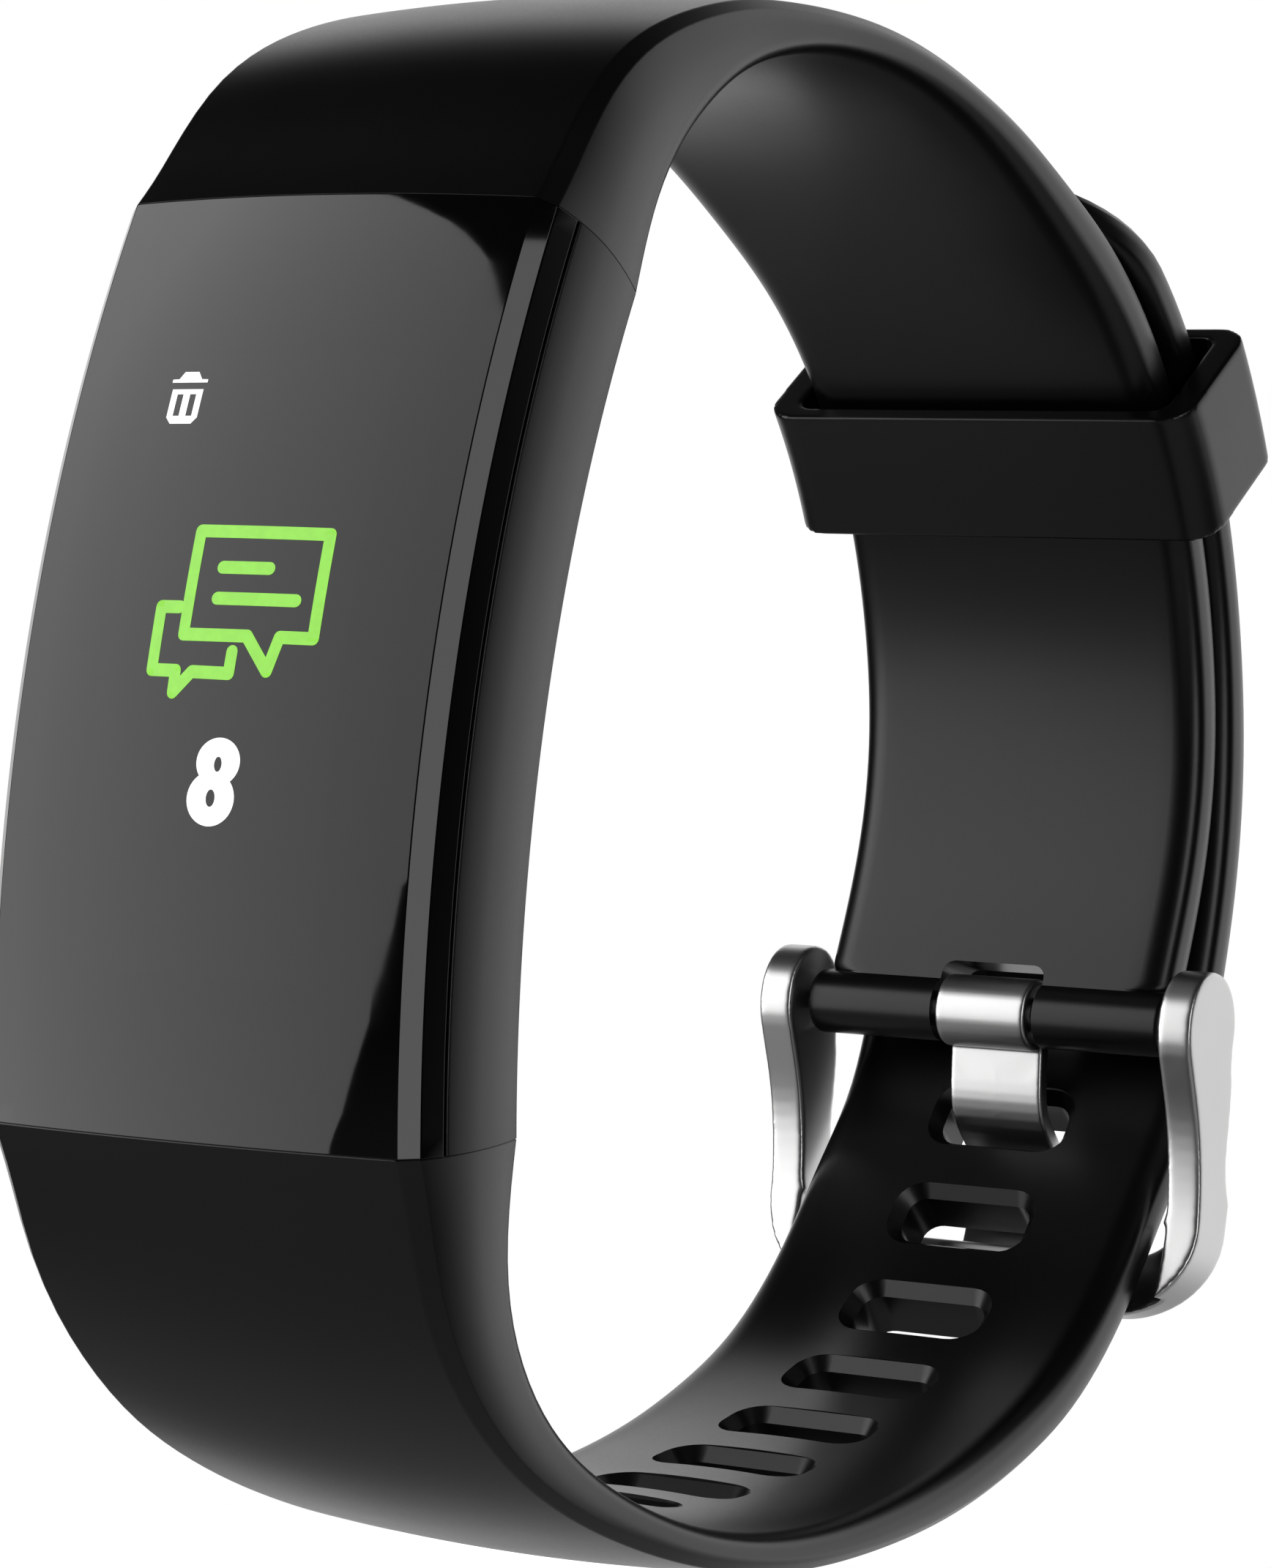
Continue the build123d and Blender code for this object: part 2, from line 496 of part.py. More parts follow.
# ---------------------------------------------------------------- keeper
def keeper_loop():
    inner_r = UPPER_R - KEEPER_GAP
    outer_r = TAIL_R + TAIL_T + 0.15 + KEEPER_GAP
    plane = Plane(origin=(0, LOOP_Y, LOOP_Z), x_dir=(1, 0, 0), z_dir=(0, 0, 1))
    mid = (inner_r + outer_r) / 2
    depth = outer_r - inner_r
    body = Pos(0, mid) * RectangleRounded(2 * KEEPER_X, depth + 2 * KEEPER_WALL, 1.6)
    opening = Pos(0, mid) * RectangleRounded(2 * (STRAP_X + 0.6), depth, 0.8)
    ring = plane * (body - opening)
    ring = revolve(ring.rotate(LOOP_AXIS, KEEPER_ANGLE - 12), axis=LOOP_AXIS, revolution_arc=24)
    a = radians(KEEPER_ANGLE)
    trim = Plane(origin=(0, LOOP_Y, LOOP_Z), x_dir=(1, 0, 0), z_dir=(0, cos(a), sin(a)))
    return ring & (trim * Pos(0, 0, 28) * Box(40, KEEPER_H, 20))


# ---------------------------------------------------------------- build
save(display_lens(), "display_lens")
save(display_module(), "display_module")
save(display_gasket(), "display_gasket")
save(case_shell(), "case_shell")
save(rear_cover(), "rear_cover")
save(rear_seal(), "rear_seal")
save(rear_screws(), "rear_screws")
save(sensor_window(), "sensor_window")
save(sensor_emitters(), "sensor_emitters")
save(charging_contacts(), "charging_contacts")
save(main_board(), "main_board")
save(shield_can(), "shield_can")
save(board_chips(), "board_chips")
save(battery_cell(), "battery_cell")
save(battery_pad(), "battery_pad")
save(vibration_motor(), "vibration_motor")
save(display_flex(), "display_flex")
save(upper_strap(), "upper_strap")
save(lower_strap(), "lower_strap")
for name, side in (("upper", 1), ("lower", -1)):
    bar = spring_bar(*case_point(LUG_DEPTH, side * LUG_ANGLE), 6.5, 7.6)
    for shape, piece in zip(bar, ("tube", "tips", "spring")):
        save(shape, name + "_bar_" + piece)
for shape, piece in zip(spring_bar(BAR_Y, BAR_Z, 8.7, 9.85), ("tube", "tips", "spring")):
    save(shape, "buckle_bar_" + piece)
save(buckle_frame(), "buckle_frame")
save(buckle_tongue(), "buckle_tongue")
save(keeper_loop(), "keeper_loop")
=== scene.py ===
"""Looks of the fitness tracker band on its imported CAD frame.  Metres, same frame as the CAD."""
import math

import bmesh
import bpy
import numpy as np
from mathutils import Matrix, Vector


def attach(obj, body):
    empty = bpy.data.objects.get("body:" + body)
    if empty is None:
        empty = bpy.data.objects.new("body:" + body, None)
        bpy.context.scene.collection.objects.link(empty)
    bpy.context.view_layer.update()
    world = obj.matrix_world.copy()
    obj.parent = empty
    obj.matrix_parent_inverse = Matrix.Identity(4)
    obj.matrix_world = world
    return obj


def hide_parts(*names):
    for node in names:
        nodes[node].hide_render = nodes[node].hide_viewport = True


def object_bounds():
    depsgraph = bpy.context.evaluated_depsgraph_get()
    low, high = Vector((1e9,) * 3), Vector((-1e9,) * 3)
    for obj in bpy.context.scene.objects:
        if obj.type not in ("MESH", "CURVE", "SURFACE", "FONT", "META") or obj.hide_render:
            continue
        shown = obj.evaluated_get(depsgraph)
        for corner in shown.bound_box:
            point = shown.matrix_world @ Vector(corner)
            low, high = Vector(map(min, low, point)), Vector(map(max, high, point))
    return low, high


MM = 0.001
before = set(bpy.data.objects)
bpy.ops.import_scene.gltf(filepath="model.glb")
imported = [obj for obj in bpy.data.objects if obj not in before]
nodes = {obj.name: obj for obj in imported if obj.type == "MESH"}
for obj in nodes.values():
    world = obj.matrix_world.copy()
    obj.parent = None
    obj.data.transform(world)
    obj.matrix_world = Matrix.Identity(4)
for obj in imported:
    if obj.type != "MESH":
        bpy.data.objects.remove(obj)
size_at_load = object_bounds()


# ------------------------------------------------------------------ material helpers
def new_material(name):
    """Material with one Principled shader: the material, its tree and the shader."""
    mat = bpy.data.materials.new(name)
    mat.use_nodes = True
    tree = mat.node_tree
    tree.nodes.clear()
    out = tree.nodes.new("ShaderNodeOutputMaterial")
    bsdf = tree.nodes.new("ShaderNodeBsdfPrincipled")
    tree.links.new(bsdf.outputs["BSDF"], out.inputs["Surface"])
    return mat, tree, bsdf


def node(tree, kind, values=None, **props):
    """New node with its properties and unlinked sockets set."""
    n = tree.nodes.new(kind)
    for key, value in props.items():
        setattr(n, key, value)
    for key, value in (values or {}).items():
        n.inputs[key].default_value = value
    return n


def ramp(tree, source, low, high, lo_pos=0.0, hi_pos=1.0):
    """Value that goes evenly from low to high while the source goes from lo_pos to hi_pos."""
    n = tree.nodes.new("ShaderNodeMapRange")
    n.inputs["From Min"].default_value = lo_pos
    n.inputs["From Max"].default_value = hi_pos
    n.inputs["To Min"].default_value = low
    n.inputs["To Max"].default_value = high
    tree.links.new(source, n.inputs["Value"])
    return n.outputs["Result"]


def math_node(tree, operation, one, two=0.0):
    """Result of a sum on two values, each a socket or a plain number."""
    n = node(tree, "ShaderNodeMath", operation=operation)
    for place, value in enumerate((one, two)):
        if isinstance(value, float):
            n.inputs[place].default_value = value
        else:
            tree.links.new(value, n.inputs[place])
    return n.outputs[0]


def noise(tree, where, scale, detail, roughness=0.5):
    """Cloudy value between 0 and 1."""
    n = node(tree, "ShaderNodeTexNoise", {"Scale": scale, "Detail": detail, "Roughness": roughness})
    tree.links.new(where, n.inputs["Vector"])
    return n.outputs["Fac"]


def mix_color(tree, factor, a, b):
    """Colour that goes from a to b with the factor."""
    n = tree.nodes.new("ShaderNodeMix")
    n.data_type = "RGBA"
    n.inputs["A"].default_value = (*a, 1)
    n.inputs["B"].default_value = (*b, 1)
    tree.links.new(factor, n.inputs["Factor"])
    return n.outputs["Result"]


def grainy(name, color, color2, roughness, rough2, grain, grain_scale=9000.0, cloud_scale=90.0,
           metallic=0.0, depth=0.00002):
    """Two-tone surface with cloudy roughness and a fine raised grain."""
    mat, tree, bsdf = new_material(name)
    where = node(tree, "ShaderNodeTexCoord").outputs["Object"]
    cloud = noise(tree, where, cloud_scale, 5.0, 0.6)
    fine = noise(tree, where, grain_scale, 3.0, 0.55)
    tint = mix_color(tree, ramp(tree, cloud, 0, 1, 0.3, 0.7), color, color2)
    tree.links.new(tint, bsdf.inputs["Base Color"])
    mean = math_node(tree, "MULTIPLY", math_node(tree, "ADD", cloud, fine), 0.5)
    tree.links.new(ramp(tree, mean, roughness, rough2, 0.35, 0.65), bsdf.inputs["Roughness"])
    bsdf.inputs["Metallic"].default_value = metallic
    bump = node(tree, "ShaderNodeBump", {"Strength": grain, "Distance": depth})
    tree.links.new(fine, bump.inputs["Height"])
    tree.links.new(bump.outputs["Normal"], bsdf.inputs["Normal"])
    return mat


SILICONE = grainy("strap_silicone", (0.0035, 0.0035, 0.0037), (0.005, 0.005, 0.0052), 0.28, 0.34, grain=0.10,
                  grain_scale=9000, cloud_scale=70, depth=0.00001)
CASE = grainy("case_polymer", (0.0035, 0.0035, 0.0037), (0.005, 0.005, 0.0052), 0.28, 0.35, grain=0.12,
              grain_scale=11000, cloud_scale=90, depth=0.00001)
REAR = grainy("rear_polymer", (0.006, 0.006, 0.0065), (0.009, 0.009, 0.0095), 0.34, 0.46, grain=0.12,
              grain_scale=8000, depth=0.00001)
STEEL = grainy("buckle_steel", (0.75, 0.75, 0.745), (0.73, 0.73, 0.725), 0.31, 0.35, grain=0.01,
               grain_scale=16000, metallic=1.0, depth=0.000001)
PIN = grainy("pin_steel", (0.62, 0.62, 0.61), (0.5, 0.5, 0.5), 0.18, 0.30, grain=0.04, metallic=1.0)
WIRE = grainy("spring_wire", (0.55, 0.55, 0.55), (0.45, 0.45, 0.46), 0.22, 0.32, grain=0.04, metallic=1.0)
SCREW = grainy("screw_steel", (0.16, 0.16, 0.165), (0.1, 0.1, 0.105), 0.25, 0.4, grain=0.08, metallic=1.0)
GOLD = grainy("contact_gold", (0.86, 0.63, 0.28), (0.78, 0.55, 0.22), 0.18, 0.30, grain=0.06, metallic=1.0)
SEAL = grainy("seal_rubber", (0.01, 0.01, 0.01), (0.016, 0.016, 0.016), 0.6, 0.75, grain=0.2)
FOAM = grainy("gasket_foam", (0.012, 0.012, 0.012), (0.02, 0.02, 0.02), 0.7, 0.85, grain=0.5)
PAD = grainy("pad_foam", (0.05, 0.05, 0.05), (0.08, 0.08, 0.08), 0.75, 0.9, grain=0.6)
BOARD = grainy("board_green", (0.008, 0.07, 0.03), (0.012, 0.09, 0.04), 0.3, 0.42, grain=0.1)
SHIELD = grainy("shield_steel", (0.6, 0.6, 0.6), (0.5, 0.5, 0.5), 0.28, 0.4, grain=0.08, metallic=1.0)
CHIP = grainy("chip_black", (0.012, 0.012, 0.012), (0.02, 0.02, 0.02), 0.5, 0.65, grain=0.3)
FOIL = grainy("battery_foil", (0.62, 0.62, 0.63), (0.52, 0.52, 0.54), 0.3, 0.45, grain=0.3, grain_scale=1500,
              metallic=1.0)
MOTOR = grainy("motor_steel", (0.6, 0.6, 0.6), (0.5, 0.5, 0.5), 0.2, 0.34, grain=0.05, metallic=1.0)
FLEX = grainy("flex_amber", (0.42, 0.17, 0.02), (0.36, 0.13, 0.015), 0.2, 0.32, grain=0.05)
PANEL = grainy("display_panel", (0.006, 0.006, 0.008), (0.01, 0.01, 0.012), 0.1, 0.16, grain=0.02)
PARTS = grainy("sensor_parts", (0.6, 0.62, 0.55), (0.5, 0.52, 0.46), 0.4, 0.55, grain=0.1)


# lit area of the display behind the lens, in metres
LIT_X, LIT_HALF_X = 0.00005, 0.0051
LIT_Z, LIT_HALF_Z = -0.0014, 0.0112
LIT_EDGE = 0.00004


def lens_material():
    """Black mirror glass: the lit area behind it is a shade off the printed border."""
    mat, tree, bsdf = new_material("lens_glass")
    where = node(tree, "ShaderNodeTexCoord").outputs["Object"]
    split = node(tree, "ShaderNodeSeparateXYZ")
    tree.links.new(where, split.inputs["Vector"])

    def band(socket, centre, half):
        size = math_node(tree, "ABSOLUTE", math_node(tree, "SUBTRACT", socket, centre))
        return ramp(tree, size, 1, 0, half, half + LIT_EDGE)

    area = math_node(tree, "MULTIPLY", band(split.outputs["X"], LIT_X, LIT_HALF_X),
                     band(split.outputs["Z"], LIT_Z, LIT_HALF_Z))
    tint = mix_color(tree, area, (0.0025, 0.0025, 0.003), (0.006, 0.006, 0.0065))
    tree.links.new(tint, bsdf.inputs["Base Color"])
    smudge = noise(tree, where, 160.0, 6.0, 0.65)
    tree.links.new(ramp(tree, smudge, 0.02, 0.045, 0.35, 0.7), bsdf.inputs["Roughness"])
    bsdf.inputs["IOR"].default_value = 1.52
    return mat


LENS = lens_material()


def sensor_glass():
    """Dark, faintly smudged window of the sensor."""
    mat, tree, bsdf = new_material("sensor_glass")
    smudge = noise(tree, node(tree, "ShaderNodeTexCoord").outputs["Object"], 220.0, 4.0)
    tint = mix_color(tree, ramp(tree, smudge, 0, 1, 0.3, 0.7), (0.02, 0.02, 0.024), (0.03, 0.03, 0.034))
    tree.links.new(tint, bsdf.inputs["Base Color"])
    tree.links.new(ramp(tree, smudge, 0.04, 0.09, 0.35, 0.7), bsdf.inputs["Roughness"])
    return mat


def glow(name, color, strength):
    """Lit display pixels: slightly uneven emission over a black base."""
    mat, tree, bsdf = new_material(name)
    cells = noise(tree, node(tree, "ShaderNodeTexCoord").outputs["Object"], 2500.0, 2.0)
    dim = tuple(c * 0.93 for c in color)
    tint = mix_color(tree, ramp(tree, cells, 0, 1, 0.35, 0.65), dim, color)
    tree.links.new(tint, bsdf.inputs["Emission Color"])
    bsdf.inputs["Base Color"].default_value = (0.01, 0.01, 0.01, 1)
    bsdf.inputs["Emission Strength"].default_value = strength
    bsdf.inputs["Roughness"].default_value = 0.08
    return mat


MATERIALS = {
    "display_lens": LENS, "display_module": PANEL, "display_gasket": FOAM, "case_shell": CASE,
    "rear_cover": REAR, "rear_seal": SEAL, "rear_screws": SCREW, "sensor_window": sensor_glass(),
    "sensor_emitters": PARTS, "charging_contacts": GOLD, "main_board": BOARD, "shield_can": SHIELD,
    "board_chips": CHIP, "battery_cell": FOIL, "battery_pad": PAD, "vibration_motor": MOTOR,
    "display_flex": FLEX, "upper_strap": SILICONE, "lower_strap": SILICONE, "keeper_loop": SILICONE,
    "buckle_frame": STEEL, "buckle_tongue": STEEL,
}
for where in ("upper", "lower", "buckle"):
    MATERIALS[where + "_bar_tube"] = PIN
    MATERIALS[where + "_bar_tips"] = PIN
    MATERIALS[where + "_bar_spring"] = WIRE

for name, mat in MATERIALS.items():
    obj = nodes[name]
    if not obj.material_slots:
        obj.data.materials.append(mat)
    for place in obj.material_slots:
        place.link = "OBJECT"
        place.material = mat


# ------------------------------------------------------------------ mesh helpers, in millimetres
# angle between faces, in degrees, from which an edge is shaded as sharp
SHARP_MOULDED, SHARP_NEVER = 26, 180


def placed(name, data):
    """New object in the scene."""
    obj = bpy.data.objects.new(name, data)
    bpy.context.scene.collection.objects.link(obj)
    return obj


def shade_smooth(mesh):
    for poly in mesh.polygons:
        poly.use_smooth = True


def outward_mesh(name, bm):
    """Mesh of a bmesh, with its normals turned outward."""
    bmesh.ops.recalc_face_normals(bm, faces=bm.faces[:])
    mesh = bpy.data.meshes.new(name)
    bm.to_mesh(mesh)
    bm.free()
    return mesh


def lofted(name, rings, wrap=False):
    """Closed skin through a row of equal loops of points."""
    bm = bmesh.new()
    rows = [[bm.verts.new(p) for p in ring] for ring in rings]
    count = len(rows[0])
    pairs = list(zip(rows, rows[1:])) + ([(rows[-1], rows[0])] if wrap else [])
    for one, two in pairs:
        for k in range(count):
            j = (k + 1) % count
            bm.faces.new((one[k], one[j], two[j], two[k]))
    if not wrap:
        bm.faces.new(rows[0][::-1])
        bm.faces.new(rows[-1])
    return placed(name, outward_mesh(name, bm))


def bake(obj):
    """Turns an object's modifiers into its mesh."""
    bpy.context.view_layer.update()
    graph = bpy.context.evaluated_depsgraph_get()
    mesh = bpy.data.meshes.new_from_object(obj.evaluated_get(graph))
    obj.modifiers.clear()
    obj.data = mesh


def combine(obj, tools, operation="DIFFERENCE"):
    """Cuts the tools out of an object, or adds them to it, and removes them."""
    for tool in tools:
        step = obj.modifiers.new(tool.name, "BOOLEAN")
        step.operation = operation
        step.solver = "EXACT"
        step.object = tool
    bake(obj)
    for tool in tools:
        bpy.data.objects.remove(tool, do_unlink=True)
    return obj


def finished(obj, mat, body, replaced, sharp):
    """Scales a millimetre mesh to metres, shades it and puts it on its body."""
    obj.data.transform(Matrix.Scale(MM, 4))
    obj.data.materials.clear()
    obj.data.materials.append(mat)
    shade_smooth(obj.data)
    for poly in obj.data.polygons:
        poly.material_index = 0
    obj.data.set_sharp_from_angle(angle=math.radians(sharp))
    even = obj.modifiers.new("even_normals", "WEIGHTED_NORMAL")
    even.keep_sharp = True
    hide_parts(replaced)
    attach(obj, body)
    return obj


def rounded_rectangle(width, height, radius, steps=6):
    """Outline with round corners, centred on the origin."""
    out = []
    for cx, cy, start in ((1, 1, 0), (-1, 1, 90), (-1, -1, 180), (1, -1, 270)):
        for k in range(steps + 1):
            a = math.radians(start + 90 * k / steps)
            out.append((cx * (width / 2 - radius) + radius * math.cos(a),
                        cy * (height / 2 - radius) + radius * math.sin(a)))
    return out


def rounded_corner(a, b, c, radius, steps=4):
    """Points of a fillet at corner b between a and c."""
    pa, pb, pc = Vector(a), Vector(b), Vector(c)
    start, end = pb + (pa - pb).normalized() * radius, pb + (pc - pb).normalized() * radius
    shares = [k / steps for k in range(steps + 1)]
    return [tuple(start.lerp(pb, t).lerp(pb.lerp(end, t), t)) for t in shares]


def polished(source, name, cell, passes, mat, body):
    """Fine, even copy of a CAD node with its sharp edges slightly rounded, as by tumbling or moulding."""
    mesh = nodes[source].data.copy()
    mesh.transform(Matrix.Scale(1 / MM, 4))
    bm = bmesh.new()
    bm.from_mesh(mesh)
    bmesh.ops.remove_doubles(bm, verts=bm.verts[:], dist=0.002)
    bm.to_mesh(mesh)
    bm.free()
    obj = placed(name, mesh)
    remesh = obj.modifiers.new("cells", "REMESH")
    remesh.mode = "VOXEL"
    remesh.voxel_size = cell
    remesh.adaptivity = 0.0
    smooth = obj.modifiers.new("polish", "SMOOTH")
    smooth.factor = 0.5
    smooth.iterations = passes
    bake(obj)
    return finished(obj, mat, body, source, SHARP_NEVER)


# ------------------------------------------------------------------ screen glass
# arc of the screen: radius and centre; half width and rise of its crown, in millimetres
CASE_R, CASE_Y, CASE_Z, CREST_X, CROWN = 65.3, 30.35, -1.05, 8.64, 0.45
HALF_ANGLE = 15.2
LENS_DEPTH = 1.55
FACET_X, WALL_X, FACET_DROP = CREST_X + 0.6, CREST_X + 0.92, 0.6
CREST_ROUND, WALL_ROUND = 0.035, 0.05
LENS_STEPS = 48
DECAL_LIFT = 0.012


def crest_rise(x):
    """Height of the crowned face over its crest line."""
    sag = (CREST_X ** 2 + CROWN ** 2) / (2 * CROWN)
    return math.sqrt(sag ** 2 - x ** 2) - (sag - CROWN)


def on_arc(x, depth, angle):
    """Point a depth below the crest line of the screen's arc, in metres."""
    r = CASE_R - depth
    return Vector((x, CASE_Y - r * math.cos(angle), CASE_Z + r * math.sin(angle))) * MM


def on_lens(x, z):
    """Point just above the outer face of the lens, in metres, from millimetres across and along it."""
    r = CASE_R + crest_rise(x) + DECAL_LIFT
    return Vector((x, CASE_Y - math.sqrt(r * r - (z - CASE_Z) ** 2), z)) * MM


def screen_glass():
    """Lens skin: crowned face, two flat side facets with fine edges, turned down at both seams."""
    crest, facet, foot = (CREST_X, 0.0), (FACET_X, FACET_DROP), (WALL_X, LENS_DEPTH)
    inner = (CREST_X - 1.0, -crest_rise(CREST_X - 1.0))
    half = [(x, -crest_rise(x)) for x in [CREST_X * k / 16 for k in range(1, 15)]]
    half += rounded_corner(inner, crest, facet, CREST_ROUND) + rounded_corner(crest, facet, foot, WALL_ROUND)
    half += rounded_corner(facet, foot, (CREST_X, LENS_DEPTH), WALL_ROUND)
    half += [(7.4, LENS_DEPTH)]
    section = [(-x, d) for x, d in reversed(half)] + [(0.0, -CROWN)] + half
    seam = [1.0, 0.99985, 0.9993]
    middle = [HALF_ANGLE * (k / LENS_STEPS * 2 - 1) * 0.998 for k in range(LENS_STEPS + 1)]
    stations = [-HALF_ANGLE * e for e in seam] + middle + [HALF_ANGLE * e for e in reversed(seam)]
    drops = [0.06, 0.02, 0.0] + [0.0] * len(middle) + [0.0, 0.02, 0.06]
    bm = bmesh.new()
    rows = []
    for angle, drop in zip(stations, drops):
        rows.append([bm.verts.new(on_arc(x, d + drop, math.radians(angle))) for x, d in section])
    for one, two in zip(rows, rows[1:]):
        for k in range(len(section) - 1):
            bm.faces.new((one[k], one[k + 1], two[k + 1], two[k]))
    for row, flip in ((rows[0], 1), (rows[-1], -1)):
        under = [bm.verts.new(on_arc(x, LENS_DEPTH, math.radians(-flip * HALF_ANGLE))) for x, d in section]
        for k in range(len(section) - 1):
            bm.faces.new((row[k], under[k], under[k + 1], row[k + 1])[::flip])
    bmesh.ops.remove_doubles(bm, verts=bm.verts[:], dist=1e-7)
    mesh = outward_mesh("screen_glass", bm)
    shade_smooth(mesh)
    mesh.materials.append(LENS)
    obj = placed("screen_glass", mesh)
    even = obj.modifiers.new("even_normals", "WEIGHTED_NORMAL")
    even.weight = 100
    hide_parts("display_lens")
    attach(obj, "band")


screen_glass()


# ------------------------------------------------------------------ case and straps, in millimetres
CASE_DEPTH, CASE_X, CASE_BELLY = 6.9, 9.8, 0.02
LUG_ANGLE, LUG_DEPTH = 13.8, 4.2
BORE_R, TUBE_R, TUBE_X, TUBE_ROUND = 0.8, 1.475, 8.95, 0.35
BAR_Y, BAR_Z = 28.6, -3.7
LOOP_Y, LOOP_Z = 4.1, 2.4
UPPER_R, TAIL_R = 25.2, 28.4
STRAP_X = 8.6
NECK_X, NECK_ROUND, NECK_Z = 8.0, 0.6, -1.7
TIP_R = 7.0
SEAM_INSET = 0.05
HOLE_W, HOLE_H, HOLE_FLARE, HOLE_ROUND, HOLE_PITCH = 6.1, 3.5, 0.5, 0.85, 5.7
TONGUE_HOLE = 30.5, -8.15
HOLES_BELOW, HOLES_ABOVE = 7, 3


def case_point(depth, angle):
    """(y, z) at a depth below the screen's crest line."""
    r = CASE_R - depth
    return CASE_Y - r * math.cos(math.radians(angle)), CASE_Z + r * math.sin(math.radians(angle))


def loop_point(radius, angle):
    """(y, z) on the arc round the back of the wrist."""
    return LOOP_Y + radius * math.cos(math.radians(angle)), LOOP_Z + radius * math.sin(math.radians(angle))


# wrist-side line of each strap, as (y, z)
UPPER_PATH = [case_point(CASE_DEPTH, HALF_ANGLE), (-24.7, 18.7), (-22.2, 22.2), (-19.0, 25.1), (-15.0, 27.3),
              (-10.0, 28.85), (-4.0, 29.5), (2.2, 29.0), (8.6, 27.4)]
UPPER_PATH += [loop_point(UPPER_R, a) for a in (65, 52, 39, 26, 14)]
UPPER_PATH += [(28.9, 4.0), (28.45, 0.4), (27.9, -2.4)]
LOWER_PATH = [case_point(CASE_DEPTH, -HALF_ANGLE), (-24.9, -20.4), (-22.9, -23.3), (-20.4, -25.4),
              (-17.0, -27.1), (-12.7, -28.3), (-7.6, -29.0), (-2.2, -29.0), (3.6, -28.2), (9.4, -26.6),
              (14.6, -24.6), (19.0, -22.3), (22.4, -20.0), (25.2, -17.2), (27.3, -14.2), (29.25, -10.8),
              (31.2, -7.2), (32.0, -3.4)]
LOWER_PATH += [loop_point(TAIL_R - dip, a)
               for a, dip in ((3, 0), (14, 0), (26, 0), (39, 0), (52, 0.05), (64, 0.2), (75, 0.35))]

# share of the length, edge thickness, half width, blend from case section to strap section,
# rise of the outer face, rise of the wrist face
UPPER_SHAPE = [
    (0, CASE_DEPTH, CASE_X, 0, CROWN, CASE_BELLY), (0.03, 6.15, 9.62, 0.14, 0.45, 0.06),
    (0.06, 5.5, 9.43, 0.3, 0.45, 0.12), (0.09, 4.75, 9.2, 0.47, 0.42, 0.2),
    (0.12, 3.95, 9.0, 0.65, 0.4, 0.28), (0.15, 3.15, 8.85, 0.8, 0.4, 0.36),
    (0.18, 2.5, 8.72, 0.9, 0.4, 0.44), (0.21, 2.0, 8.65, 0.96, 0.45, 0.5),
    (0.25, 1.6, 8.6, 1, 0.5, 0.56), (0.3, 1.4, 8.6, 1, 0.55, 0.58), (0.36, 1.38, 8.6, 1, 0.55, 0.55),
    (0.41, 1.52, 8.6, 1, 0.5, 0.46), (0.46, 1.85, 8.6, 1, 0.4, 0.28), (0.51, 2.15, 8.6, 1, 0.25, 0.1),
    (0.56, 2.4, 8.6, 1, 0.1, 0.03), (0.62, 2.5, 8.6, 1, 0.08, 0.02), (1, 2.5, 8.6, 1, 0.08, 0.02),
]
LOWER_SHAPE = [
    (0, CASE_DEPTH, CASE_X, 0, CROWN, CASE_BELLY), (0.03, 5.35, 9.45, 0.25, 0.45, 0.15),
    (0.06, 4.0, 9.05, 0.6, 0.45, 0.3), (0.09, 2.95, 8.8, 0.86, 0.45, 0.45),
    (0.12, 2.2, 8.66, 0.97, 0.47, 0.58), (0.155, 1.7, 8.6, 1, 0.45, 0.7),
    (0.195, 1.4, 8.6, 1, 0.4, 0.8), (0.24, 1.3, 8.6, 1, 0.4, 0.87), (0.28, 1.35, 8.6, 1, 0.4, 0.88),
    (0.32, 1.5, 8.6, 1, 0.4, 0.82), (0.36, 1.75, 8.6, 1, 0.38, 0.72), (0.4, 2.0, 8.6, 1, 0.32, 0.6),
    (0.44, 2.25, 8.6, 1, 0.2, 0.42), (0.48, 2.45, 8.6, 1, 0.1, 0.22), (0.52, 2.55, 8.6, 1, 0.08, 0.06),
    (0.58, 2.6, 8.6, 1, 0.08, 0.02), (0.7, 2.6, 8.6, 1, 0.08, 0.02), (0.745, 2.55, 8.6, 1, 0.08, 0.02),
    (0.79, 2.4, 8.6, 1, 0.08, 0.02), (0.84, 2.35, 8.6, 1, 0.08, 0.02), (0.9, 2.25, 8.6, 1, 0.08, 0.02),
    (0.95, 2.0, 8.6, 1, 0.08, 0.02), (1, 1.6, 8.6, 1, 0.08, 0.02),
]


def spline(knots, values, at):
    """Natural cubic through the values at the knots, read at other places, with its slope."""
    knots, values = np.array(knots, float), np.array(values, float)
    n = len(knots)
    h = np.diff(knots)
    system = np.eye(n)
    load = np.zeros_like(values)
    for i in range(1, n - 1):
        system[i, i - 1:i + 2] = h[i - 1], 2 * (h[i - 1] + h[i]), h[i]
        load[i] = 6 * ((values[i + 1] - values[i]) / h[i] - (values[i] - values[i - 1]) / h[i - 1])
    bend = np.linalg.solve(system, load)
    k = np.clip(np.searchsorted(knots, at, side="right") - 1, 0, n - 2)
    left, right, span = (knots[k + 1] - at)[:, None], (at - knots[k])[:, None], h[k][:, None]
    low, high = values[k] / span - bend[k] * span / 6, values[k + 1] / span - bend[k + 1] * span / 6
    place = (bend[k] * left ** 3 + bend[k + 1] * right ** 3) / (6 * span) + low * left + high * right
    slope = (bend[k + 1] * right ** 2 - bend[k] * left ** 2) / (2 * span) + high - low
    return place, slope


